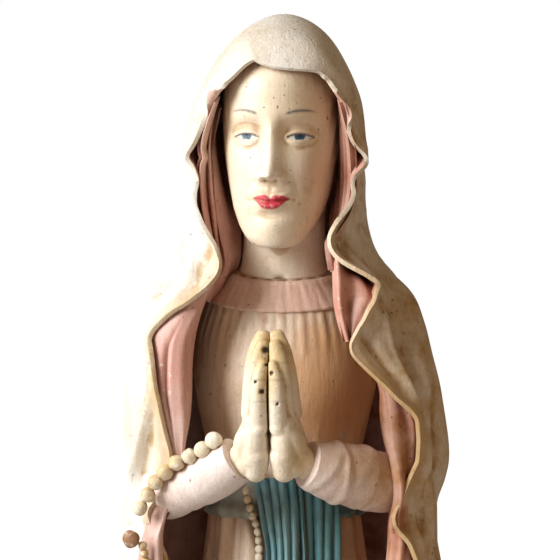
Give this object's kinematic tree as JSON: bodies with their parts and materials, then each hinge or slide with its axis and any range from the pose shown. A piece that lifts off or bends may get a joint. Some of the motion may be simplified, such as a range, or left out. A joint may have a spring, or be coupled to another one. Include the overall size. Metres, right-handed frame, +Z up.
{
  "type": "praying figure statue",
  "caption": "Painted plaster statue of a veiled figure in prayer, with a white mantle, a blue sash and a moulded rosary, on a rocky base.",
  "frame": {"origin": "middle of the underside of the felt pad under the base", "axes": "+Z up, -Y the way the figure faces, +X towards the figure's left hand, which is the right as it is seen"},
  "size_m": [0.122, 0.112, 0.4315],
  "materials": {
    "painted_plaster_ivory": "satin, aged paint",
    "painted_plaster_pink": "satin, aged paint",
    "painted_plaster_flesh": "satin",
    "painted_plaster_blue": "satin, aged paint",
    "painted_plaster_gown": "satin, aged paint",
    "painted_rock": "matt",
    "bead_paint": "satin",
    "gilt_paint": "worn gilt",
    "iron": "dull",
    "steel": "plain",
    "timber": "sawn",
    "felt": "matt"
  },
  "bodies": {
    "root": {"plinth": "painted_plaster_ivory", "rock": "painted_rock", "felt_pad": "felt", "base_screw": "steel", "base_washer": "steel", "batten": "timber", "gown": "painted_plaster_gown", "mantle": "painted_plaster_ivory", "right_fall": "painted_plaster_pink", "left_fall": "painted_plaster_pink", "collar_band": "painted_plaster_pink", "head": "painted_plaster_flesh", "neck_pin": "iron", "right_sleeve": "painted_plaster_pink", "left_sleeve": "painted_plaster_pink", "right_hand": "painted_plaster_flesh", "left_hand": "painted_plaster_flesh", "wrist_pins": "iron", "waist_sash": "painted_plaster_blue", "right_sash_tail": "painted_plaster_blue", "left_sash_tail": "painted_plaster_blue", "rosary_large_beads": "bead_paint", "rosary_boss": "gilt_paint", "rosary_outer_strand": "bead_paint", "rosary_inner_strand": "bead_paint", "rosary_medal": "gilt_paint", "rosary_pendant_beads": "bead_paint", "rosary_crucifix": "gilt_paint", "right_foot": "painted_plaster_flesh", "left_foot": "painted_plaster_flesh", "foot_roses": "gilt_paint"}
  },
  "joints": []
}
